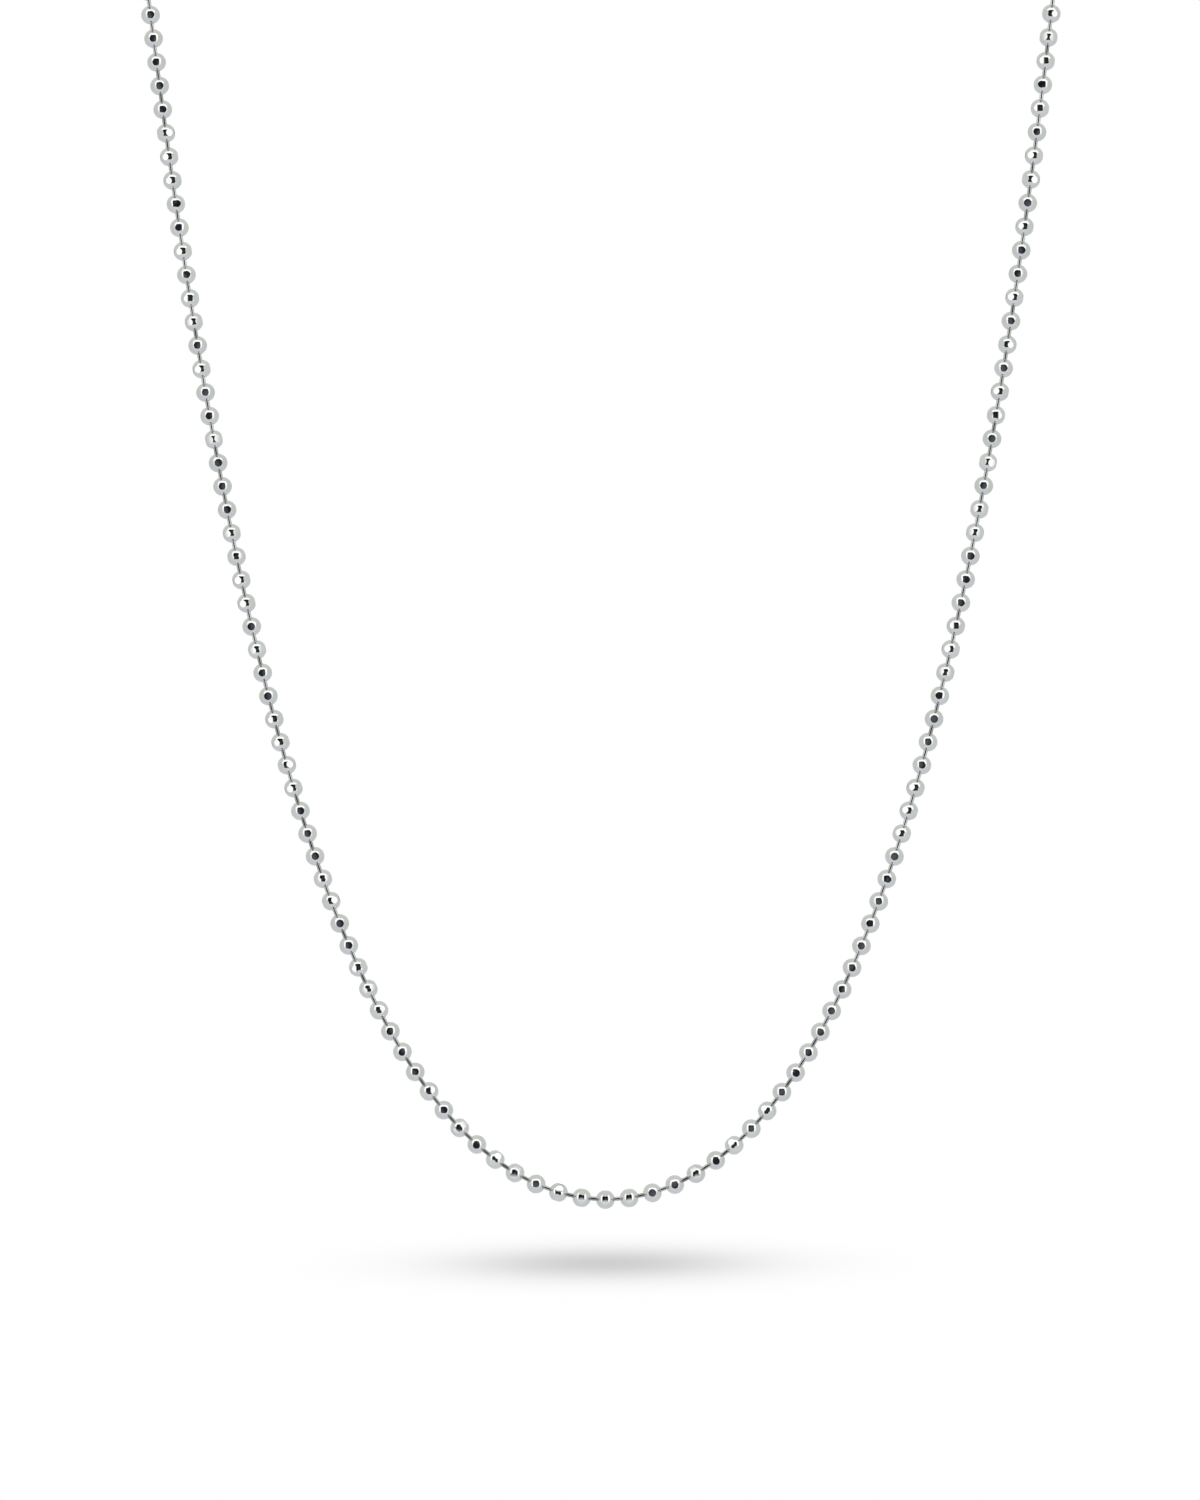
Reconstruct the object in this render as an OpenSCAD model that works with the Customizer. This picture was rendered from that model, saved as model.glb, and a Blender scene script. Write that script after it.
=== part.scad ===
// Ball chain necklace: hollow beads with cut flats on a link wire, closed by a connector sleeve.
// It hangs as worn: the origin is the centre of the loop round the neck, +Z is up, -Y is the front.

/* [Bead] */
// Diameter of a bead before its flats are cut
bead_d = 2; // [1.6:0.1:3]
// Wall of a bead
bead_wall = 0.22; // [0.16:0.01:0.3]
// Number of flats cut round the middle of a bead
flat_count = 6; // [4:1:8]
// Depth that a flat is cut below the round surface
flat_depth = 0.076; // [0.04:0.004:0.1]

/* [Chain] */
// Length of the closed necklace, sleeve included
chain_length = 508; // [440:1:620]
// Space between one bead and the next
bead_gap = 0.56; // [0.4:0.02:1]
// Diameter of the link wire
wire_d = 0.44; // [0.4:0.02:0.56]
// Space round the link wire in the two holes of a bead
wire_play = 0.18; // [0.16:0.01:0.24]

/* [Hang] */
// Radius of the curve at the lowest point of the front
drop_radius = 17.14; // [14:0.01:20]
// Radius of the bend from the chest over the shoulder
shoulder_radius = 22; // [12:1:30]
// How far the middle bead hangs to the left of the lowest point, along the chain
bead_shift = 0.17; // [-0.6:0.01:0.6]
// Tilt of the stretch behind the neck, up from level
neck_tilt = 35; // [20:1:50]

/* [Sleeve] */
// Space between the two end beads that the sleeve holds
held_gap = 4.24; // [2:0.02:7]
// Wall of the sleeve, along its sides and round its ends
sleeve_wall = 0.3; // [0.2:0.02:0.5]
// Space between an end bead and the sleeve
bead_play = 0.12; // [0.1:0.01:0.2]
// Space between the link wire and the sides of the slot that it slips in by
slot_play = 0.26; // [0.24:0.01:0.36]

/* [Hidden] */

bead_r = bead_d / 2;
bore_r = bead_r - bead_wall;
hole_d = wire_d + 2 * wire_play;
round_sides = 48;
wire_sides = 6;

// Whole beads on each side of the lowest one, and the length that they and the sleeve close at
pitch = bead_d + bead_gap;
held_span = bead_d + held_gap;
side_beads = round((chain_length - held_span) / (2 * pitch));
half_loop = side_beads * pitch + held_span / 2;

// How the flats are cut on the beads in front, from left to right, and again on the others.
// [degrees from facing the front to a flat, towards the outside of the loop; share of flat_depth]
cuts = [
    [-3, 1.15], [3, 1], [4, 1], [-3, 1.2], [-6, 0.95], [-26, 1.05], [23, 0.85],
    [23, 0.85], [-12, 1.05], [5, 1], [23, 0.85], [-4, 1.1], [20, 0.9], [27, 0.95],
    [2, 1], [24, 1], [0, 1], [4, 1], [29, 1.3], [-3, 1.3], [2, 1],
    [-4, 1.2], [27, 0.95], [30, 0.55], [23, 1.05], [24, 1], [2, 1.25], [27, 0.9],
    [3, 1.05], [2, 1.3], [22, 0.8], [24, 0.8], [-22, 1], [24, 1], [-4, 1.15],
    [-3, 1.05], [-3, 1.25], [28, 0.65], [-25, 0.95], [-3, 1.3], [-4, 1], [22, 0.95],
    [27, 0.8], [-28, 0.65], [3, 1], [3, 1.05], [-4, 0.95], [-23, 1], [-5, 1],
    [23, 1.1], [4, 1.15], [27, 1], [20, 0.95], [-2, 0.95], [-27, 1.2], [19, 1],
    [19, 0.85], [19, 0.85], [-2, 1.25], [1, 1.15], [21, 0.9], [5, 1.1], [29, 0.95],
    [-1, 0.8], [29, 0.75], [0, 0.9], [4, 1.2], [2, 0.95], [1, 1.1], [-2, 1.15],
    [-4, 0.9], [2, 1], [-2, 1.15], [-8, 0.95], [0, 0.9], [8, 0.95], [0, 1.3],
    [-29, 0.8], [-26, 0.9], [-26, 0.8], [2, 1], [1, 0.95], [0, 1.3], [-7, 1.1],
    [29, 0.85], [-24, 0.95], [-22, 0.9], [2, 1.05], [4, 1.1], [2, 1.2], [29, 0.95],
    [30, 0.9], [-3, 1.05], [26, 1.2], [-2, 1.2], [17, 0.95], [-26, 0.9], [1, 1.1],
    [21, 0.8], [1, 1.05], [-26, 0.95], [-4, 1], [2, 1.2], [-26, 0.8], [-2, 1.25],
    [24, 1], [-24, 0.95], [-4, 1], [-21, 0.9], [-13, 1], [-22, 0.95], [29, 1.05],
    [21, 0.8]
];
function cut_of(i) = let (n = len(cuts), k = (i + floor(n / 2)) % n) cuts[k < 0 ? k + n : k];

// Each half of the loop is a hanging curve, a bend over the shoulder and an arc round the neck.
// All three follow from s, the length of the hanging curve up from its lowest point.
bend_turn = 90 - neck_tilt;
function front_angle(s) = atan(s / drop_radius);
function front_reach(s) = drop_radius * ln(s / drop_radius + sqrt(pow(s / drop_radius, 2) + 1));
function front_rise(s) = sqrt(pow(drop_radius, 2) + s * s) - drop_radius;
function bend_run(s) = shoulder_radius * bend_turn * PI / 180 / sin(front_angle(s));
function neck_radius(s) = (front_reach(s) + bend_run(s) * cos(front_angle(s))) / sin(front_angle(s));
function neck_run(s) = neck_radius(s) * (180 - front_angle(s)) * PI / 180;
function half_length(s) = s + bend_run(s) + neck_run(s);
function split_at(low, high, times = 40) =
    let (middle = (low + high) / 2)
    times == 0 ? middle
    : half_length(middle) > half_loop ? split_at(low, middle, times - 1)
    : split_at(middle, high, times - 1);

front_run = split_at(drop_radius, half_loop);
rise_angle = front_angle(front_run);
shoulder_run = bend_run(front_run);
neck_r = neck_radius(front_run);

// The bend and the arc, each measured from where it starts
function shoulder_point(d) =
    let (turn = d * sin(rise_angle) / shoulder_radius * 180 / PI)
    [d * cos(rise_angle), shoulder_radius * (1 - cos(turn)), shoulder_radius * sin(turn)];
function neck_point(d) =
    let (heading = rise_angle + d / neck_r * 180 / PI, up = neck_r * (cos(rise_angle) - cos(heading)))
    [neck_r * sin(heading), up * cos(neck_tilt), up * sin(neck_tilt)];

front_end = [front_reach(front_run), 0, front_rise(front_run)];
shoulder_end = front_end + shoulder_point(shoulder_run);
neck_start = [0, shoulder_end.y, shoulder_end.z];
neck_centre = neck_start + neck_r * cos(rise_angle) * [0, cos(neck_tilt), sin(neck_tilt)];

function right_half(d) =
    d <= front_run ? [front_reach(d), 0, front_rise(d)]
    : d <= front_run + shoulder_run ? front_end + shoulder_point(d - front_run)
    : neck_start + neck_point(d - front_run - shoulder_run);
// A point of the loop at a length s from its lowest point, to the right where s is positive
function route(s) =
    let (point = right_half(abs(s)) - neck_centre)
    [s < 0 ? -point.x : point.x, point.y, point.z];

function unit(v) = v / norm(v);
function bead_at(i) = route(i * pitch - bead_shift);
function bead_axis(i) = unit(bead_at(i + 0.5) - bead_at(i - 0.5));

// The sleeve lies along the straight line between the two end beads
first_bead = bead_at(-side_beads);
last_bead = bead_at(side_beads);
sleeve_line = last_bead - first_bead;
sleeve_run = norm(sleeve_line);
sleeve_turn = atan2(sleeve_line * [0, cos(neck_tilt), sin(neck_tilt)], sleeve_line.x);
sleeve_bore_r = bead_r + bead_play;
sleeve_r = sleeve_bore_r + sleeve_wall;
slot_w = wire_d + 2 * slot_play;

module along(point, direction) {
    translate(point) rotate([0, acos(direction.z), atan2(direction.y, direction.x)]) children();
}

module bead(turn, depth_share) {
    flat_seat = bead_r - depth_share * flat_depth;
    facing_front = -90;
    difference() {
        sphere(r = bead_r, $fn = round_sides);
        sphere(r = bore_r, $fn = round_sides);
        cylinder(h = 2 * bead_d, d = hole_d, center = true, $fn = round_sides);
        for (k = [0 : flat_count - 1])
            rotate(facing_front + turn + k * 360 / flat_count)
                translate([flat_seat, -bead_r, -bead_r]) cube([bead_r, bead_d, bead_d]);
    }
}

module beads() {
    color("silver")
        for (i = [-side_beads : side_beads])
            along(bead_at(i), bead_axis(i)) bead(cut_of(i)[0], cut_of(i)[1]);
}

// One wire through every bead, with a ring of corners at each bead's centre
module link_wire() {
    centres = [for (i = [-side_beads : side_beads]) bead_at(i)];
    last = len(centres) - 1;
    // The chain runs near this direction nowhere, so the rings never twist
    never_along = [0, -2, 1];
    corners = [
        for (i = [0 : last])
            let (
                forward = unit(centres[min(i + 1, last)] - centres[max(i - 1, 0)]),
                across = unit(cross(forward, never_along)),
                over = cross(forward, across)
            )
            for (k = [0 : wire_sides - 1])
                let (turn = k * 360 / wire_sides)
                centres[i] + wire_d / 2 * (cos(turn) * across + sin(turn) * over)
    ];
    sides = [
        for (i = [0 : last - 1], k = [0 : wire_sides - 1])
            let (a = i * wire_sides + k, b = i * wire_sides + (k + 1) % wire_sides)
            [a, a + wire_sides, b + wire_sides, b]
    ];
    first_end = [for (k = [0 : wire_sides - 1]) k];
    last_end = [for (k = [wire_sides - 1 : -1 : 0]) last * wire_sides + k];
    color("gainsboro") polyhedron(points = corners, faces = concat([first_end], sides, [last_end]));
}

module sleeve_form(r) {
    cylinder(h = sleeve_run, r = r, center = true, $fn = round_sides);
    for (end = [-1, 1]) translate([0, 0, end * sleeve_run / 2]) sphere(r = r, $fn = round_sides);
}

// A hollow sleeve with round ends, open along its lower side and at its ends for the wire
module clasp() {
    color("silver")
        translate((first_bead + last_bead) / 2)
        rotate([neck_tilt, 0, 0]) rotate([0, 0, sleeve_turn]) rotate([0, 90, 0])
            difference() {
                sleeve_form(sleeve_r);
                sleeve_form(sleeve_bore_r);
                translate([0, -slot_w / 2, -sleeve_run]) cube([bead_d, slot_w, 2 * sleeve_run]);
                cylinder(h = 2 * sleeve_run, d = slot_w, center = true, $fn = round_sides);
            }
}

beads();
link_wire();
clasp();
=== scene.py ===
import math
import random

import bmesh
import bpy
from bpy.props import FloatProperty, FloatVectorProperty, IntProperty, PointerProperty
from mathutils import Matrix, Vector


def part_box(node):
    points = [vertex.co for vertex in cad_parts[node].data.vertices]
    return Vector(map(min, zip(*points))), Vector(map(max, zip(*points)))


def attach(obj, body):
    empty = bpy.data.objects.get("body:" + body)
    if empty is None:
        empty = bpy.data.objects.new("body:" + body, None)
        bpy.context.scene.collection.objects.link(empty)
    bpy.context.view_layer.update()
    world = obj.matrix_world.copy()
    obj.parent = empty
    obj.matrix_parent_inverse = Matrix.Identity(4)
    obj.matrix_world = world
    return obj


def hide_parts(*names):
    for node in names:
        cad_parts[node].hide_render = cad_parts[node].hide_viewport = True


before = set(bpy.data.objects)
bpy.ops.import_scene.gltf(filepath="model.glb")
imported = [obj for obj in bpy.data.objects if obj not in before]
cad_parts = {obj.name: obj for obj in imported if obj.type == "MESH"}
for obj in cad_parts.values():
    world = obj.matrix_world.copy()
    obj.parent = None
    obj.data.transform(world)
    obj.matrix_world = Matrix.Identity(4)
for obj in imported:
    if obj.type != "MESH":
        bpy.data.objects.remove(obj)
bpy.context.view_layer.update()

bl_info = {
    "name": "Ball Chain Necklace",
    "version": (1, 0, 0),
    "blender": (4, 5, 0),
    "location": "View3D > Sidebar > Necklace",
    "description": "A ball chain necklace of beads with cut flats, as it hangs when worn",
    "category": "Add Mesh",
}

# Pieces are modelled in millimetres, and get their real size with their place in the loop
MM = 0.001
# Cuts and bisects take points this near to be the same, in millimetres
TOUCHING = 1e-5
# The solid model's box and the loop worked out here may differ by this much, in metres
ROUTE_PLAY = 0.0001
# Seed of the beads' lean and of the uneven tones
SEED = 98

# Sides and rings of a bead's ball and of its bore
BALL_GRID = (32, 16)
BORE_GRID = (16, 8)
# Rounding of a bead's hole rims and of the sleeve's edges, in millimetres
RIM_ROUNDING = 0.02
SLEEVE_ROUNDING = 0.07
# Points of the sleeve this near are joined before its edges are rounded, in millimetres
SLEEVE_SLIVER = 0.05
# How far a pin's head starts from the middle of its bead, in millimetres, and the head's steps:
# how far each goes out, and the radius that it ends with
HEAD_START = 0.62
HEAD_STEPS = ((0.10, 0.46), (0.06, 0.48), (0.10, 0.42), (0.05, 0.26))
# The pins round the lowest stretch that are painted darker than the rest, as painted shade:
# the middle one, how many lie to each side of it, and how much darker they are
SHADED_PINS_MIDDLE, SHADED_PINS_REACH, SHADED_PINS_SHARE = -7, 18, 0.34

# How the flats are cut on the beads in front, from left to right, and again on the others:
# degrees from facing the front to a flat, towards the outside of the loop, and share of the depth
CUTS = [
    (-3, 1.15), (3, 1), (4, 1), (-3, 1.2), (-6, 0.95), (-26, 1.05), (23, 0.85),
    (23, 0.85), (-12, 1.05), (5, 1), (23, 0.85), (-4, 1.1), (20, 0.9), (27, 0.95),
    (2, 1), (24, 1), (0, 1), (4, 1), (29, 1.3), (-3, 1.3), (2, 1),
    (-4, 1.2), (27, 0.95), (30, 0.55), (23, 1.05), (24, 1), (2, 1.25), (27, 0.9),
    (3, 1.05), (2, 1.3), (22, 0.8), (24, 0.8), (-22, 1), (24, 1), (-4, 1.15),
    (-3, 1.05), (-3, 1.25), (28, 0.65), (-25, 0.95), (-3, 1.3), (-4, 1), (22, 0.95),
    (27, 0.8), (-28, 0.65), (3, 1), (3, 1.05), (-4, 0.95), (-23, 1), (-5, 1),
    (23, 1.1), (4, 1.15), (27, 1), (20, 0.95), (-2, 0.95), (-27, 1.2), (19, 1),
    (19, 0.85), (19, 0.85), (-2, 1.25), (1, 1.15), (21, 0.9), (5, 1.1), (29, 0.95),
    (-1, 0.8), (29, 0.75), (0, 0.9), (4, 1.2), (2, 0.95), (1, 1.1), (-2, 1.15),
    (-4, 0.9), (2, 1), (-2, 1.15), (-8, 0.95), (0, 0.9), (8, 0.95), (0, 1.3),
    (-29, 0.8), (-26, 0.9), (-26, 0.8), (2, 1), (1, 0.95), (0, 1.3), (-7, 1.1),
    (29, 0.85), (-24, 0.95), (-22, 0.9), (2, 1.05), (4, 1.1), (2, 1.2), (29, 0.95),
    (30, 0.9), (-3, 1.05), (26, 1.2), (-2, 1.2), (17, 0.95), (-26, 0.9), (1, 1.1),
    (21, 0.8), (1, 1.05), (-26, 0.95), (-4, 1), (2, 1.2), (-26, 0.8), (-2, 1.25),
    (24, 1), (-24, 0.95), (-4, 1), (-21, 0.9), (-13, 1), (-22, 0.95), (29, 1.05),
    (21, 0.8),
]


class ChainSizes(bpy.types.PropertyGroup):
    """Sizes of the chain and of the way that it hangs, the same as in the solid model."""

    bead_diameter: FloatProperty(
        name="Bead Diameter", description="Diameter of a bead before its flats are cut",
        default=0.002, min=0.0016, max=0.003, precision=5, unit="LENGTH",
    )
    bead_wall: FloatProperty(
        name="Bead Wall", description="Wall of a bead",
        default=0.00022, min=0.00016, max=0.0003, precision=5, unit="LENGTH",
    )
    flat_count: IntProperty(
        name="Flats", description="Number of flats cut round the middle of a bead",
        default=6, min=4, max=8,
    )
    flat_depth: FloatProperty(
        name="Flat Depth", description="Depth that a flat is cut below the round surface",
        default=0.000076, min=0.00004, max=0.0001, precision=6, unit="LENGTH",
    )
    chain_length: FloatProperty(
        name="Chain Length", description="Length of the closed necklace, sleeve included",
        default=0.508, min=0.44, max=0.62, precision=4, unit="LENGTH",
    )
    bead_gap: FloatProperty(
        name="Bead Gap", description="Space between one bead and the next",
        default=0.00056, min=0.0004, max=0.001, precision=5, unit="LENGTH",
    )
    wire_diameter: FloatProperty(
        name="Pin Diameter", description="Diameter of the pins that link the beads",
        default=0.00044, min=0.0004, max=0.00056, precision=5, unit="LENGTH",
    )
    pin_play: FloatProperty(
        name="Pin Play", description="Space round a pin in the hole of a bead",
        default=0.000085, min=0.00008, max=0.00024, precision=5, unit="LENGTH",
    )
    flat_crown: FloatProperty(
        name="Flat Crown",
        description="How far the polished middle of a flat stands above its edge",
        default=0.00002, min=0.0, max=0.00003, precision=6, unit="LENGTH",
    )
    drop_radius: FloatProperty(
        name="Drop Radius", description="Radius of the curve at the lowest point of the front",
        default=0.01714, min=0.014, max=0.02, precision=5, unit="LENGTH",
    )
    shoulder_radius: FloatProperty(
        name="Shoulder Radius", description="Radius of the bend from the chest over the shoulder",
        default=0.022, min=0.012, max=0.03, precision=4, unit="LENGTH",
    )
    bead_shift: FloatProperty(
        name="Bead Shift",
        description="How far the middle bead hangs to the left of the lowest point",
        default=0.00017, min=-0.0006, max=0.0006, precision=5, unit="LENGTH",
    )
    neck_tilt: FloatProperty(
        name="Neck Tilt", description="Tilt of the stretch behind the neck, up from level",
        default=math.radians(35), min=math.radians(20), max=math.radians(50), subtype="ANGLE",
    )
    held_gap: FloatProperty(
        name="Held Gap", description="Space between the two end beads that the sleeve holds",
        default=0.00424, min=0.002, max=0.007, precision=5, unit="LENGTH",
    )
    sleeve_wall: FloatProperty(
        name="Sleeve Wall", description="Wall of the sleeve",
        default=0.0003, min=0.0002, max=0.0005, precision=5, unit="LENGTH",
    )
    bead_play: FloatProperty(
        name="Bead Play", description="Space between an end bead and the sleeve",
        default=0.00012, min=0.0001, max=0.0002, precision=5, unit="LENGTH",
    )
    slot_play: FloatProperty(
        name="Slot Play", description="Space between a pin and the sides of the sleeve's slot",
        default=0.00026, min=0.00024, max=0.00036, precision=5, unit="LENGTH",
    )


class ChainFinish(bpy.types.PropertyGroup):
    """Colours and polish of the metal."""

    silver: FloatVectorProperty(
        name="Silver", description="Colour of the polished beads",
        default=(0.93, 0.93, 0.925), min=0.0, max=1.0, size=3, subtype="COLOR",
    )
    pin_silver: FloatVectorProperty(
        name="Pin Silver", description="Colour of the pins between the beads",
        default=(0.91, 0.91, 0.905), min=0.0, max=1.0, size=3, subtype="COLOR",
    )
    tarnish: FloatVectorProperty(
        name="Tarnish", description="Colour of the metal where polishing doesn't reach it",
        default=(0.50, 0.49, 0.46), min=0.0, max=1.0, size=3, subtype="COLOR",
    )
    polish: FloatProperty(
        name="Polish", description="Roughness of the polished metal",
        default=0.035, min=0.0, max=0.5, subtype="FACTOR",
    )
    loose_tilt: FloatProperty(
        name="Loose Tilt", description="How far a loose bead may lean on its pins",
        default=math.radians(0.8), min=0.0, max=math.radians(4), subtype="ANGLE",
    )


class ChainStudio(bpy.types.PropertyGroup):
    """Camera, floor and light."""

    view_height: FloatProperty(
        name="View Height", description="Height of the picture at the front of the chain",
        default=0.16103, min=0.05, max=0.5, precision=5, unit="LENGTH",
    )
    view_centre: FloatVectorProperty(
        name="View Centre", description="Point at the middle of the picture",
        default=(-0.00051, -0.0143, -0.10292), size=3, precision=5, subtype="TRANSLATION",
    )
    roll: FloatProperty(
        name="Roll", description="How far the camera leans to its right",
        default=math.radians(0.284), min=math.radians(-5), max=math.radians(5), subtype="ANGLE",
    )
    distance: FloatProperty(
        name="Distance", description="Distance from the camera to the front of the chain",
        default=1.5, min=0.3, max=3.0, unit="LENGTH",
    )
    floor_height: FloatProperty(
        name="Floor Height", description="Height of the floor under the chain",
        default=-0.158, min=-0.3, max=-0.155, precision=4, unit="LENGTH",
    )
    shade_centre: FloatVectorProperty(
        name="Shade Centre", description="Middle of the soft shade on the floor",
        default=(-0.0002, -0.015), size=2, precision=4, subtype="XYZ",
    )
    shade_spread: FloatVectorProperty(
        name="Shade Spread", description="Spread of the soft shade, across and from front to back",
        default=(0.0114, 0.0336), min=0.001, size=2, precision=4, subtype="XYZ",
    )
    shade_tone: FloatProperty(
        name="Shade Tone", description="Brightness of the floor at the middle of the shade",
        default=0.625, min=0.0, max=1.0, subtype="FACTOR",
    )


class HangingLoop:
    """The line of the worn chain: a hanging curve, a shoulder bend and an arc round the neck."""

    def __init__(self, sizes):
        self.pitch = sizes.bead_diameter + sizes.bead_gap
        held_span = sizes.bead_diameter + sizes.held_gap
        self.side_beads = round((sizes.chain_length - held_span) / (2 * self.pitch))
        half_loop = self.side_beads * self.pitch + held_span / 2
        self.shift = sizes.bead_shift
        self.drop = sizes.drop_radius
        self.shoulder = sizes.shoulder_radius
        self.tilt = sizes.neck_tilt
        low, high = self.drop, half_loop
        for _ in range(40):
            middle = (low + high) / 2
            if middle + self.bend_run(middle) + self.neck_run(middle) > half_loop:
                high = middle
            else:
                low = middle
        self.front_run = low
        self.rise = self.front_angle(low)
        self.shoulder_run = self.bend_run(low)
        self.neck = self.neck_radius(low)
        self.front_end = Vector((self.front_reach(low), 0, self.front_rise(low)))
        self.shoulder_end = self.front_end + self.shoulder_point(self.shoulder_run)
        self.neck_start = Vector((0, self.shoulder_end.y, self.shoulder_end.z))
        lift = self.neck * math.cos(self.rise)
        self.neck_centre = self.neck_start + self.up_the_neck(lift)

    def up_the_neck(self, length):
        return length * Vector((0, math.cos(self.tilt), math.sin(self.tilt)))

    def front_angle(self, run):
        return math.atan(run / self.drop)

    def front_reach(self, run):
        return self.drop * math.asinh(run / self.drop)

    def front_rise(self, run):
        return math.hypot(self.drop, run) - self.drop

    def bend_run(self, run):
        return self.shoulder * (math.pi / 2 - self.tilt) / math.sin(self.front_angle(run))

    def neck_radius(self, run):
        angle = self.front_angle(run)
        return (self.front_reach(run) + self.bend_run(run) * math.cos(angle)) / math.sin(angle)

    def neck_run(self, run):
        return self.neck_radius(run) * (math.pi - self.front_angle(run))

    def shoulder_point(self, run):
        turn = run * math.sin(self.rise) / self.shoulder
        return Vector((
            run * math.cos(self.rise),
            self.shoulder * (1 - math.cos(turn)),
            self.shoulder * math.sin(turn),
        ))

    def neck_point(self, run):
        heading = self.rise + run / self.neck
        up = self.neck * (math.cos(self.rise) - math.cos(heading))
        return Vector((self.neck * math.sin(heading), 0, 0)) + self.up_the_neck(up)

    def point(self, run):
        """The point at a length from the loop's lowest point, to the right if it is positive."""
        length = abs(run)
        if length <= self.front_run:
            place = Vector((self.front_reach(length), 0, self.front_rise(length)))
        elif length <= self.front_run + self.shoulder_run:
            place = self.front_end + self.shoulder_point(length - self.front_run)
        else:
            place = self.neck_start + self.neck_point(length - self.front_run - self.shoulder_run)
        place = place - self.neck_centre
        return Vector((math.copysign(place.x, run), place.y, place.z))

    def bead_centre(self, i):
        return self.point(i * self.pitch - self.shift)

    def bead_place(self, i):
        """Place of bead i, with Z along the chain and X to the outside of the front."""
        forward = self.bead_centre(i + 0.5) - self.bead_centre(i - 0.5)
        forward.normalize()
        swing = Matrix.Rotation(math.atan2(forward.y, forward.x), 4, "Z")
        lean = Matrix.Rotation(math.acos(forward.z), 4, "Y")
        return Matrix.Translation(self.bead_centre(i)) @ swing @ lean

    def pin_place(self, i):
        """Place of the pin from bead i to the next, its Z axis along it."""
        start, end = self.bead_centre(i), self.bead_centre(i + 1)
        turn = (end - start).to_track_quat("Z", "Y").to_matrix().to_4x4()
        return Matrix.Translation((start + end) / 2) @ turn

    def sleeve_place(self):
        """Place of the sleeve, with Z from end bead to end bead, and how far apart they are."""
        start, end = self.bead_centre(-self.side_beads), self.bead_centre(self.side_beads)
        line = end - start
        swing = Matrix.Rotation(math.atan2(line.dot(self.up_the_neck(1)), line.x), 4, "Z")
        lay = Matrix.Rotation(self.tilt, 4, "X") @ swing @ Matrix.Rotation(math.pi / 2, 4, "Y")
        return Matrix.Translation((start + end) / 2) @ lay, line.length


def deselect():
    if bpy.context.mode != "OBJECT":
        bpy.ops.object.mode_set(mode="OBJECT")
    bpy.ops.object.select_all(action="DESELECT")


def select_edges(piece, wanted):
    """Selects the edges, in edit mode, for which wanted(edge) holds."""
    mesh = bmesh.from_edit_mesh(piece.data)
    for part in (*mesh.verts, *mesh.edges, *mesh.faces):
        part.select = False
    for edge in mesh.edges:
        if wanted(edge):
            edge.select_set(True)
    bmesh.update_edit_mesh(piece.data)


def select_faces(piece, wanted):
    """Selects the faces, in edit mode, for which wanted(face) holds."""
    mesh = bmesh.from_edit_mesh(piece.data)
    for part in (*mesh.verts, *mesh.edges, *mesh.faces):
        part.select = False
    for face in mesh.faces:
        if wanted(face):
            face.select_set(True)
    bmesh.update_edit_mesh(piece.data)


def cut_off(place, outwards, fill=False):
    """Cuts away all of the piece in edit mode that lies beyond a plane."""
    bpy.ops.mesh.select_all(action="SELECT")
    bpy.ops.mesh.bisect(
        plane_co=place, plane_no=outwards, use_fill=fill, clear_outer=True, threshold=TOUCHING,
    )


def open_ball(radius, hole_r, segments, rings):
    """A ball round the Z axis with a round opening at each pole, left in edit mode."""
    deselect()
    bpy.ops.mesh.primitive_uv_sphere_add(segments=segments, ring_count=rings, radius=radius)
    ball = bpy.context.object
    bpy.ops.object.mode_set(mode="EDIT")
    height = math.sqrt(radius**2 - hole_r**2)
    for side in (1, -1):
        cut_off((0, 0, side * height), (0, 0, side))
    return ball


def join_pieces(pieces, name):
    """Makes one piece of several and names it."""
    deselect()
    for piece in pieces:
        piece.select_set(True)
    bpy.context.view_layer.objects.active = pieces[0]
    bpy.ops.object.join()
    joined = bpy.context.object
    joined.name = joined.data.name = name
    return joined


def write_attribute(piece, name, value_at):
    """Stores a number at each corner point of a piece, for its material to read."""
    stored = piece.data.attributes.new(name, "FLOAT", "POINT")
    for vertex in piece.data.vertices:
        stored.data[vertex.index].value = value_at(vertex.co)


def copy_to(piece, place):
    """A copy of a piece with its own mesh, put in its place in the loop at its real size."""
    copied = piece.copy()
    copied.data = piece.data.copy()
    copied.data.transform(place @ Matrix.Scale(MM, 4))
    bpy.context.scene.collection.objects.link(copied)
    return copied


def hand_in(piece, slot, material, *nodes):
    """Gives a piece its material and its place in the frame, and hides the solids it stands for."""
    piece.data.materials.clear()
    piece.data.materials.append(material)
    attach(piece, "root")
    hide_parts(*nodes)


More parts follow.
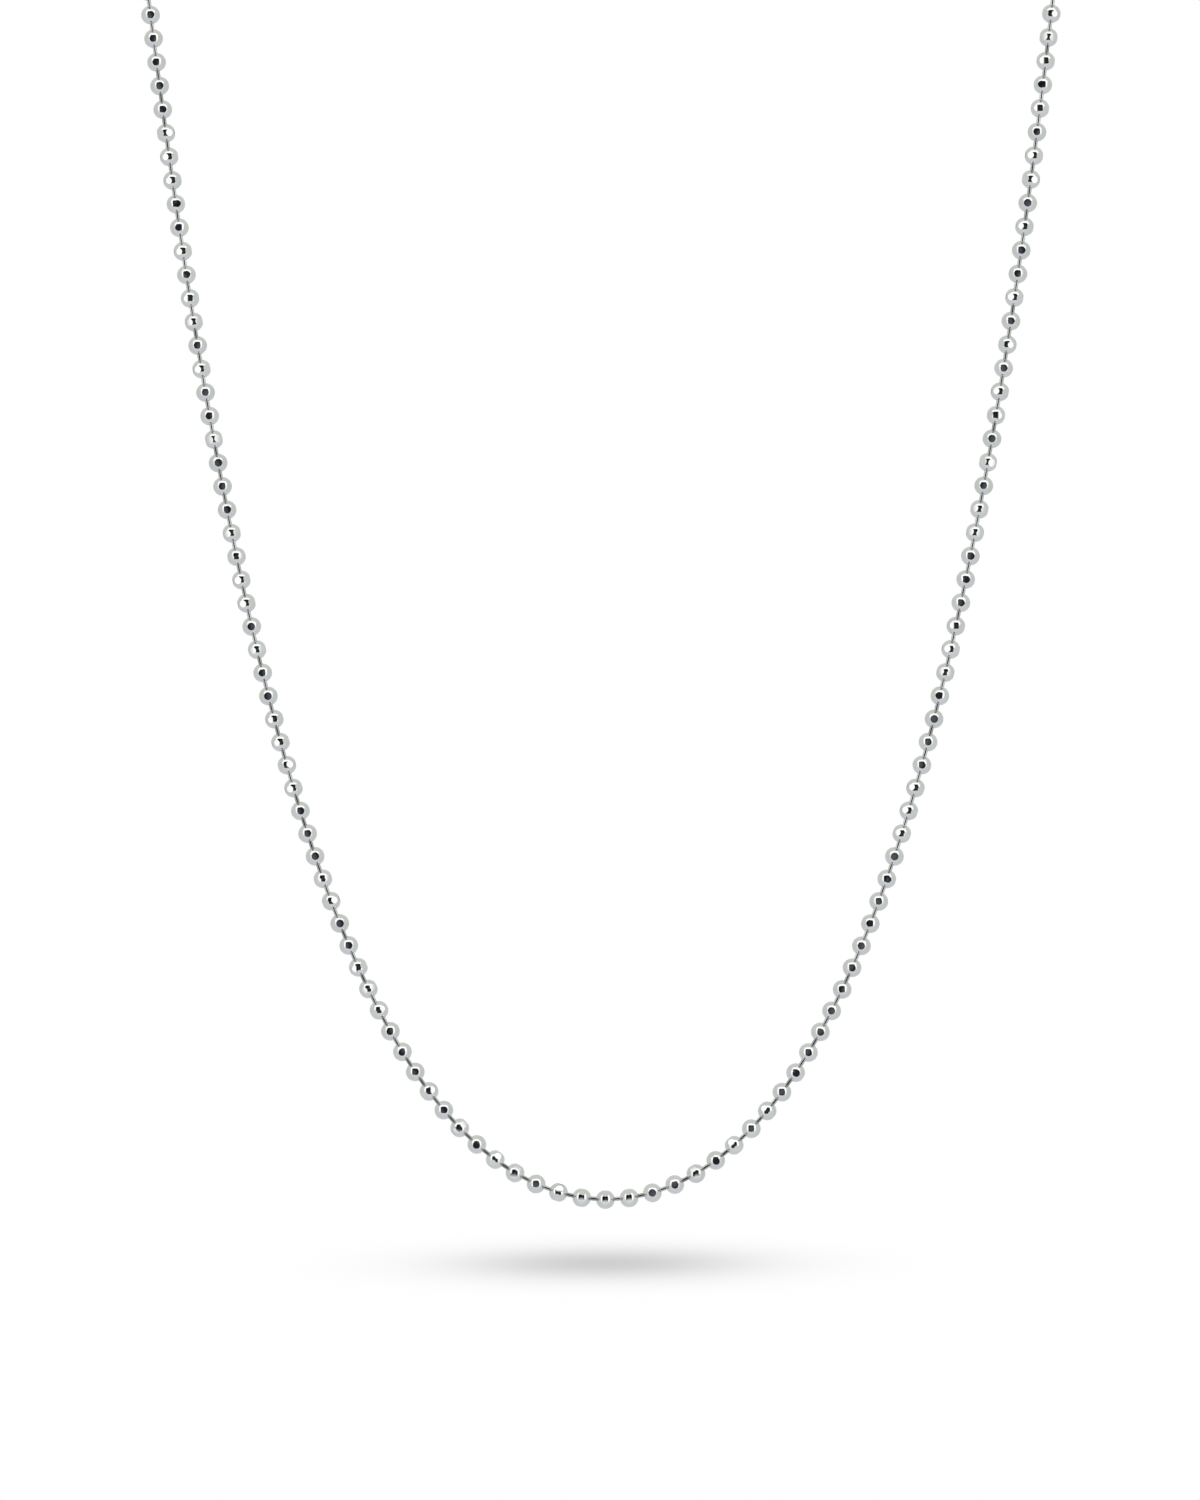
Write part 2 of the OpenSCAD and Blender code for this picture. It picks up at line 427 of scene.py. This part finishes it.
class NodeBench:
    """Adds nodes to a tree and joins them up."""

    def __init__(self, tree):
        self.tree = tree
        tree.nodes.clear()

    def put(self, kind, inputs, **settings):
        node = self.tree.nodes.new(kind)
        for name, value in settings.items():
            setattr(node, name, value)
        for key, value in inputs.items():
            if isinstance(value, bpy.types.NodeSocket):
                self.tree.links.new(value, node.inputs[key])
            else:
                node.inputs[key].default_value = value
        return node

    def math(self, operation, *values, clamp=False):
        node = self.put("ShaderNodeMath", dict(enumerate(values)), operation=operation)
        node.use_clamp = clamp
        return node.outputs[0]

    def ramp(self, factor, stops, smooth=True):
        """A colour ramp through (place, tone or colour) stops."""
        node = self.put("ShaderNodeValToRGB", {"Fac": factor})
        line = node.color_ramp
        line.interpolation = "EASE" if smooth else "LINEAR"
        while len(line.elements) < len(stops):
            line.elements.new(0.5)
        for element, (place, tone) in zip(line.elements, stops):
            element.position = place
            element.color = (tone, tone, tone, 1) if isinstance(tone, (int, float)) else (*tone, 1)
        return node.outputs["Color"]

    def mix(self, factor, a, b, blend="MIX"):
        node = self.put(
            "ShaderNodeMix", {0: factor, 6: a, 7: b}, data_type="RGBA", blend_type=blend,
        )
        return node.outputs[2]

    def spread(self, value, low, high, to_low=0.0, to_high=1.0, smooth=False):
        """A value between two limits, brought to two others and held there beyond them."""
        node = self.put(
            "ShaderNodeMapRange",
            {"Value": value, "From Min": low, "From Max": high,
             "To Min": to_low, "To Max": to_high},
            interpolation_type="SMOOTHSTEP" if smooth else "LINEAR",
        )
        return node.outputs["Result"]

    def hill(self, distances, widths):
        """A soft hill: 1 where all the distances are 0, less further out."""
        total = None
        for distance, width in zip(distances, widths):
            share = self.math("DIVIDE", distance, width)
            squared = self.math("MULTIPLY", share, share)
            total = squared if total is None else self.math("ADD", total, squared)
        return self.math("POWER", math.e, self.math("MULTIPLY", total, -0.5))


def polished_metal(name, colour, tarnish, polish, worn_from, tone_range):
    """Polished silver with faint polishing marks, in tones set by an attribute: a random tone per
    piece, which on the pins also holds painted shade.

    It is duller where the reach attribute is over worn_from.
    """
    material = bpy.data.materials.new(name)
    material.use_nodes = True
    bench = NodeBench(material.node_tree)
    place = bench.put("ShaderNodeTexCoord", {}).outputs["Object"]

    def noise(scale, detail, distortion=0.0):
        return bench.put(
            "ShaderNodeTexNoise",
            {"Vector": place, "Scale": scale, "Detail": detail, "Distortion": distortion},
        ).outputs["Fac"]

    reach = bench.put("ShaderNodeAttribute", {}, attribute_name="reach").outputs["Fac"]
    # Random tone per piece, and on the pins painted shade as well
    lot_and_shade = bench.put("ShaderNodeAttribute", {}, attribute_name="lot_and_shade").outputs["Fac"]
    patches = noise(1400, 3)
    marks = noise(9000, 4, 0.4)
    ragged = bench.math("MULTIPLY", bench.math("SUBTRACT", patches, 0.5), 0.08)
    edge = bench.math("ADD", reach, ragged)
    dull = bench.spread(edge, worn_from, worn_from + 0.09, 0.0, 0.75, smooth=True)
    tone = bench.spread(lot_and_shade, 0.0, 1.0, 1 - tone_range, 1.0)
    base = bench.mix(1.0, (*colour, 1), bench.put(
        "ShaderNodeCombineColor", {"Red": tone, "Green": tone, "Blue": tone},
    ).outputs["Color"], "MULTIPLY")
    base = bench.mix(bench.spread(patches, 0.35, 0.75, 0.0, 0.06), base, (*tarnish, 1))
    base = bench.mix(dull, base, (*tarnish, 1))
    rough = bench.math("ADD", bench.spread(patches, 0.3, 0.7, 0.7 * polish, 1.3 * polish),
                       bench.math("MULTIPLY", dull, 0.22))
    bump = bench.put(
        "ShaderNodeBump", {"Strength": 0.05, "Distance": 0.00001, "Height": marks},
    ).outputs["Normal"]
    metal = bench.put(
        "ShaderNodeBsdfPrincipled",
        {"Base Color": base, "Metallic": 1.0, "Roughness": rough, "Normal": bump},
    )
    bench.put("ShaderNodeOutputMaterial", {"Surface": metal.outputs[0]})
    return material


def model_bead(sizes, depth_share):
    """One hollow bead on the Z axis: two holes, and flats round its middle, one to the front."""
    ball_r = sizes.bead_diameter / 2 / MM
    bore_r = ball_r - sizes.bead_wall / MM
    hole_r = (sizes.wire_diameter / 2 + sizes.pin_play) / MM
    seat = ball_r - depth_share * sizes.flat_depth / MM
    inside = open_ball(bore_r, hole_r, *BORE_GRID)
    bpy.ops.mesh.select_all(action="SELECT")
    bpy.ops.mesh.flip_normals()
    shell = open_ball(ball_r, hole_r, *BALL_GRID)
    for k in range(sizes.flat_count):
        turn = -math.pi / 2 + k * 2 * math.pi / sizes.flat_count
        outwards = Vector((math.cos(turn), math.sin(turn), 0))
        cut_off(outwards * seat, outwards, fill=True)
        bpy.ops.mesh.mark_sharp()
        # No other face has as many corners as a flat
        select_faces(shell, lambda f: len(f.verts) > 8)
        bpy.ops.mesh.poke(offset=sizes.flat_crown / MM)
    bead = join_pieces([shell, inside], "bead")
    bpy.ops.object.mode_set(mode="EDIT")
    rim_z = math.sqrt(ball_r**2 - hole_r**2)
    for side in (1, -1):
        select_edges(bead, lambda e: e.is_boundary and side * e.verts[0].co.z > 0)
        bpy.ops.mesh.bridge_edge_loops()
        select_edges(bead, lambda e: all(abs(v.co.z - side * rim_z) < 1e-4 for v in e.verts))
        bpy.ops.mesh.bevel(
            offset=RIM_ROUNDING, offset_type="OFFSET", segments=2, affect="EDGES",
        )
    bpy.ops.object.mode_set(mode="OBJECT")
    bpy.ops.object.shade_smooth()
    skin_r = bore_r + 0.01
    write_attribute(bead, "reach", lambda co: abs(co.z) / ball_r if co.length > skin_r else 1.0)
    return bead


def model_pin(sizes, pitch):
    """One link pin along the Z axis, with a head inside the bead at each end."""
    wire_r = sizes.wire_diameter / 2 / MM
    half_pitch = pitch / MM / 2
    neck_z = half_pitch - HEAD_START
    deselect()
    bpy.ops.mesh.primitive_cylinder_add(
        vertices=14, radius=wire_r, depth=2 * neck_z, end_fill_type="NGON",
    )
    pin = bpy.context.object
    bpy.ops.object.mode_set(mode="EDIT")
    for side in (1, -1):
        select_faces(pin, lambda f: side * f.calc_center_median().z > neck_z - TOUCHING)
        width = wire_r
        for step, radius in HEAD_STEPS:
            bpy.ops.mesh.extrude_region_move(TRANSFORM_OT_translate={"value": (0, 0, side * step)})
            share = radius / width
            bpy.ops.transform.resize(value=(share, share, 1))
            width = radius
    bpy.ops.object.mode_set(mode="OBJECT")
    bpy.ops.object.shade_smooth_by_angle(angle=math.radians(50))
    write_attribute(pin, "reach", lambda co: abs(co.z) / half_pitch)
    return pin


class NECKLACE_OT_beads(bpy.types.Operator):
    """Models a bead for each depth of cut and strings copies round the loop"""

    bl_idname = "necklace.string_beads"
    bl_label = "String Beads"

    def execute(self, context):
        sizes, finish = context.scene.necklace_sizes, context.scene.necklace_finish
        loop = HangingLoop(sizes)
        dice = random.Random(SEED)
        models = {share: model_bead(sizes, share) for share in sorted({cut[1] for cut in CUTS})}
        halves = {"beads_left": [], "beads_right": []}
        for i in range(-loop.side_beads, loop.side_beads + 1):
            turn, share = CUTS[(i + len(CUTS) // 2) % len(CUTS)]
            way, lean = dice.uniform(0, math.tau), dice.uniform(0, finish.loose_tilt)
            loose = Matrix.Rotation(lean, 4, Vector((math.cos(way), math.sin(way), 0)))
            place = loop.bead_place(i) @ loose @ Matrix.Rotation(math.radians(turn), 4, "Z")
            bead = copy_to(models[share], place)
            tone = dice.random()
            write_attribute(bead, "lot_and_shade", lambda co: tone)
            halves["beads_left" if i < 0 else "beads_right"].append(bead)
        for model in models.values():
            bpy.data.objects.remove(model)
        metal = polished_metal(
            "bead_polish", finish.silver, finish.tarnish, finish.polish,
            worn_from=0.89, tone_range=0.045,
        )
        for name, beads in halves.items():
            hand_in(join_pieces(beads, name), "bead_silver", metal, "beads")
        self.compare_with_solids(halves)
        return {"FINISHED"}

    def compare_with_solids(self, halves):
        bpy.context.view_layer.update()
        low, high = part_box("beads")
        corners = [bpy.data.objects[name].matrix_world @ Vector(corner)
                   for name in halves for corner in bpy.data.objects[name].bound_box]
        for axis in range(3):
            off = max(abs(min(c[axis] for c in corners) - low[axis]),
                      abs(max(c[axis] for c in corners) - high[axis]))
            if off > ROUTE_PLAY:
                raise RuntimeError(
                    f"the beads are {off / MM:.2f} mm off the solid model along axis {axis}")


class NECKLACE_OT_pins(bpy.types.Operator):
    """Models a link pin and puts a copy between each bead and the next"""

    bl_idname = "necklace.link_beads"
    bl_label = "Link Beads"

    def execute(self, context):
        sizes, finish = context.scene.necklace_sizes, context.scene.necklace_finish
        loop = HangingLoop(sizes)
        model = model_pin(sizes, loop.pitch)
        dice = random.Random(SEED)
        pins = []
        for i in range(-loop.side_beads, loop.side_beads):
            pin = copy_to(model, loop.pin_place(i))
            # Painted shade: the pins round the lowest stretch get a darker tone
            painted_shade = SHADED_PINS_SHARE * math.exp(-((i - SHADED_PINS_MIDDLE) / SHADED_PINS_REACH)**4)
            tone = 1 - dice.random()**1.7 - painted_shade
            write_attribute(pin, "lot_and_shade", lambda co: tone)
            pins.append(pin)
        bpy.data.objects.remove(model)
        metal = polished_metal(
            "pin_polish", finish.pin_silver, finish.tarnish, finish.polish,
            worn_from=0.5, tone_range=0.5,
        )
        hand_in(join_pieces(pins, "link_pins"), "wire_silver", metal, "link_wire")
        return {"FINISHED"}


class NECKLACE_OT_sleeve(bpy.types.Operator):
    """Models the connector sleeve that holds the two end beads"""

    bl_idname = "necklace.close_loop"
    bl_label = "Close Loop"

    def execute(self, context):
        sizes, finish = context.scene.necklace_sizes, context.scene.necklace_finish
        loop = HangingLoop(sizes)
        place, run = loop.sleeve_place()
        half_run = run / 2 / MM
        wall_width = sizes.sleeve_wall / MM
        outer_r = (sizes.bead_diameter / 2 + sizes.bead_play) / MM + wall_width
        slot_r = (sizes.wire_diameter / 2 + sizes.slot_play) / MM
        deselect()
        bpy.ops.mesh.primitive_uv_sphere_add(segments=48, ring_count=24, radius=outer_r)
        sleeve = bpy.context.object
        bpy.ops.object.mode_set(mode="EDIT")
        cut_off((0, 0, math.sqrt(outer_r**2 - slot_r**2)), (0, 0, 1))
        cut_off((0, 0, 0), (0, 0, -1))
        bpy.ops.mesh.select_all(action="SELECT")
        bpy.ops.transform.translate(value=(0, 0, half_run))
        select_edges(sleeve, lambda e: e.is_boundary and e.verts[0].co.z < half_run + 1e-3)
        bpy.ops.mesh.extrude_region_move(TRANSFORM_OT_translate={"value": (0, 0, -half_run)})
        for side in (1, -1):
            select_faces(sleeve, lambda f: f.calc_center_median().x > 0)
            bpy.ops.mesh.bisect(
                plane_co=(0, side * slot_r, 0), plane_no=(0, 1, 0), threshold=TOUCHING,
            )
        select_faces(sleeve, lambda f: f.calc_center_median().x > 0
                     and abs(f.calc_center_median().y) < slot_r - 1e-4)
        bpy.ops.mesh.delete(type="FACE")
        bpy.ops.mesh.select_all(action="SELECT")
        bpy.ops.mesh.remove_doubles(threshold=SLEEVE_SLIVER)
        bpy.ops.object.mode_set(mode="OBJECT")
        mirror = sleeve.modifiers.new("other_end", "MIRROR")
        mirror.use_axis = (False, False, True)
        mirror.merge_threshold = 1e-4
        wall = sleeve.modifiers.new("wall", "SOLIDIFY")
        wall.thickness, wall.offset = wall_width, -1
        rounded = sleeve.modifiers.new("rounded_edges", "BEVEL")
        rounded.width, rounded.segments = SLEEVE_ROUNDING, 3
        rounded.angle_limit = math.radians(45)
        for modifier in list(sleeve.modifiers):
            bpy.ops.object.modifier_apply(modifier=modifier.name)
        bpy.ops.object.shade_smooth_by_angle(angle=math.radians(35))
        write_attribute(sleeve, "reach", lambda co: 1 - (co.xy.length - outer_r + wall_width))
        placed = copy_to(sleeve, place)
        bpy.data.objects.remove(sleeve)
        placed.name = placed.data.name = "connector_sleeve"
        metal = polished_metal(
            "sleeve_polish", finish.silver, finish.tarnish, 2 * finish.polish,
            worn_from=0.95, tone_range=0.0,
        )
        hand_in(placed, "clasp_silver", metal, "clasp")
        return {"FINISHED"}


class NECKLACE_OT_stage(bpy.types.Operator):
    """Sets up the camera, the pale floor and the light tent"""

    bl_idname = "necklace.set_stage"
    bl_label = "Set Stage"

    def execute(self, context):
        studio = context.scene.necklace_studio
        self.camera(context, studio)
        self.floor(studio)
        self.light_tent(context)
        context.scene.view_settings.view_transform = "Standard"
        return {"FINISHED"}

    def camera(self, context, studio):
        deselect()
        spot = Vector(studio.view_centre) - Vector((0, studio.distance, 0))
        bpy.ops.object.camera_add(location=spot, rotation=(math.pi / 2, studio.roll, 0))
        camera = context.object
        camera.name = "front_camera"
        camera.data.lens = camera.data.sensor_width * studio.distance / studio.view_height
        camera.data.clip_start, camera.data.clip_end = 0.05, 20
        context.scene.camera = camera

    def floor(self, studio):
        deselect()
        bpy.ops.mesh.primitive_plane_add(size=6, location=(0, 0, studio.floor_height))
        floor = bpy.context.object
        floor.name = "floor"
        bpy.ops.object.transform_apply(location=True)
        floor.visible_glossy = floor.visible_diffuse = floor.visible_shadow = False
        material = bpy.data.materials.new("pale_floor")
        material.use_nodes = True
        bench = NodeBench(material.node_tree)
        place = bench.put("ShaderNodeTexCoord", {}).outputs["Object"]
        axes = bench.put("ShaderNodeSeparateXYZ", {"Vector": place}).outputs
        off = [bench.math("SUBTRACT", axes[k], studio.shade_centre[k]) for k in (0, 1)]
        shade = bench.hill(off, studio.shade_spread)
        tone = bench.math("SUBTRACT", 1.0, bench.math("MULTIPLY", shade, 1 - studio.shade_tone))
        pale = bench.put("ShaderNodeEmission", {"Color": (1, 1, 1, 1), "Strength": tone})
        bench.put("ShaderNodeOutputMaterial", {"Surface": pale.outputs[0]})
        floor.data.materials.append(material)

    def light_tent(self, context):
        """Paints the tent as a mirror ball shows it: across and up from -1 to 1, the front at 0."""
        world = bpy.data.worlds.new("light_tent")
        world.use_nodes = True
        context.scene.world = world
        bench = NodeBench(world.node_tree)
        way = bench.put("ShaderNodeTexCoord", {}).outputs["Generated"]
        axes = bench.put("ShaderNodeSeparateXYZ", {"Vector": way}).outputs
        back = bench.math("SUBTRACT", 2.0, bench.math("MULTIPLY", axes[1], 2.0))
        half = bench.math("SQRT", bench.math("MAXIMUM", back, 1e-4))
        across = bench.math("DIVIDE", axes[0], half)
        up = bench.math("DIVIDE", axes[2], half)
        out = bench.math("SQRT", bench.math(
            "ADD", bench.math("MULTIPLY", across, across), bench.math("MULTIPLY", up, up)))

        # Pale walls all round, with a small dark window behind
        walls = bench.ramp(out, [
            (0.36, 0.67), (0.55, 0.635), (0.75, 0.59), (0.88, 0.60),
            (0.982, 0.64), (0.994, 0.22), (1.0, 0.10),
        ])
        tint = bench.ramp(bench.spread(up, -1, 1), [
            (0.0, (1.01, 1.05, 1.10)), (0.3, (0.985, 1.03, 1.05)), (0.5, (0.96, 1.02, 0.965)),
            (0.75, (1.01, 1.055, 0.995)), (1.0, (1.05, 1.07, 1.02)),
        ])
        tent = bench.mix(1.0, walls, tint, "MULTIPLY")

        def rounded(middle, half_width, height, half_height, power):
            """Less than 1 inside a rounded rectangle of the front, more outside it."""
            shares = []
            sizes = ((across, middle, half_width), (up, height, half_height))
            for value, centre, half_size in sizes:
                off = bench.math("ABSOLUTE", bench.math("SUBTRACT", value, centre))
                shares.append(bench.math("POWER", bench.math("DIVIDE", off, half_size), power))
            return bench.math("ADD", *shares)

        # A bright soft light in front, and in it the dark opening that the camera looks through
        soft_light = bench.spread(
            rounded(0.0, 0.49, 0.13, 0.45, 3.0), 0.65, 1.30, 1.0, 0.0, smooth=True,
        )
        tent = bench.mix(soft_light, tent, (1.2, 1.2, 1.2, 1))
        opening = bench.spread(
            rounded(-0.02, 0.315, 0.035, 0.355, 5.0), 0.85, 1.25, 1.0, 0.0, smooth=True,
        )

        # The room behind the opening, with the camera's lens in its middle and a table below
        clutter = bench.put(
            "ShaderNodeTexNoise", {"Vector": way, "Scale": 4.0, "Detail": 2.0},
        ).outputs["Fac"]
        room = bench.ramp(clutter, [
            (0.32, (0.007, 0.008, 0.011)), (0.46, (0.022, 0.024, 0.033)),
            (0.58, (0.055, 0.060, 0.076)), (0.72, (0.110, 0.112, 0.115)),
        ])
        deep = bench.spread(out, 0.15, 0.22, 0.0, 0.8, smooth=True)
        room = bench.mix(deep, room, (0.006, 0.006, 0.009, 1))
        lens = bench.ramp(out, [
            (0.0, (0.090, 0.092, 0.108)), (0.045, (0.062, 0.063, 0.078)),
            (0.066, (0.022, 0.022, 0.031)), (0.11, (0.014, 0.014, 0.020)),
        ])
        room = bench.mix(bench.spread(out, 0.10, 0.15, 1.0, 0.0, smooth=True), room, lens)
        table = bench.ramp(bench.spread(up, -0.36, -0.26), [
            (0.0, (0.63, 0.64, 0.67)), (0.45, (0.43, 0.44, 0.46)), (1.0, (0.25, 0.255, 0.25)),
        ])
        room = bench.mix(bench.spread(up, -0.31, -0.25, 1.0, 0.0, smooth=True), room, table)
        tent = bench.mix(opening, tent, room)

        # The camera itself sees plain white past the necklace
        seen = bench.put("ShaderNodeLightPath", {}).outputs["Is Camera Ray"]
        inside = bench.put("ShaderNodeBackground", {"Color": tent, "Strength": 1.0}).outputs[0]
        plain = bench.put(
            "ShaderNodeBackground", {"Color": (1, 1, 1, 1), "Strength": 1.0},
        ).outputs[0]
        both = bench.put("ShaderNodeMixShader", {0: seen, 1: inside, 2: plain}).outputs[0]
        bench.put("ShaderNodeOutputWorld", {"Surface": both})


class NECKLACE_PT_panel(bpy.types.Panel):
    """Lists the steps and sizes of the necklace"""

    bl_label = "Ball Chain Necklace"
    bl_space_type = "VIEW_3D"
    bl_region_type = "UI"
    bl_category = "Necklace"

    def draw(self, context):
        column = self.layout.column()
        for step in STEPS:
            column.operator(step.bl_idname)
        scene = context.scene
        for group in (scene.necklace_sizes, scene.necklace_finish, scene.necklace_studio):
            for name in group.__annotations__:
                column.prop(group, name)


STEPS = (NECKLACE_OT_stage, NECKLACE_OT_beads, NECKLACE_OT_pins, NECKLACE_OT_sleeve)
CLASSES = (ChainSizes, ChainFinish, ChainStudio, *STEPS, NECKLACE_PT_panel)


def register():
    for added in CLASSES:
        bpy.utils.register_class(added)
    bpy.types.Scene.necklace_sizes = PointerProperty(type=ChainSizes)
    bpy.types.Scene.necklace_finish = PointerProperty(type=ChainFinish)
    bpy.types.Scene.necklace_studio = PointerProperty(type=ChainStudio)


def unregister():
    del bpy.types.Scene.necklace_studio
    del bpy.types.Scene.necklace_finish
    del bpy.types.Scene.necklace_sizes
    for added in reversed(CLASSES):
        bpy.utils.unregister_class(added)


def main():
    register()
    bpy.ops.necklace.set_stage()
    bpy.ops.necklace.string_beads()
    bpy.ops.necklace.link_beads()
    bpy.ops.necklace.close_loop()


if __name__ == "__main__":
    main()
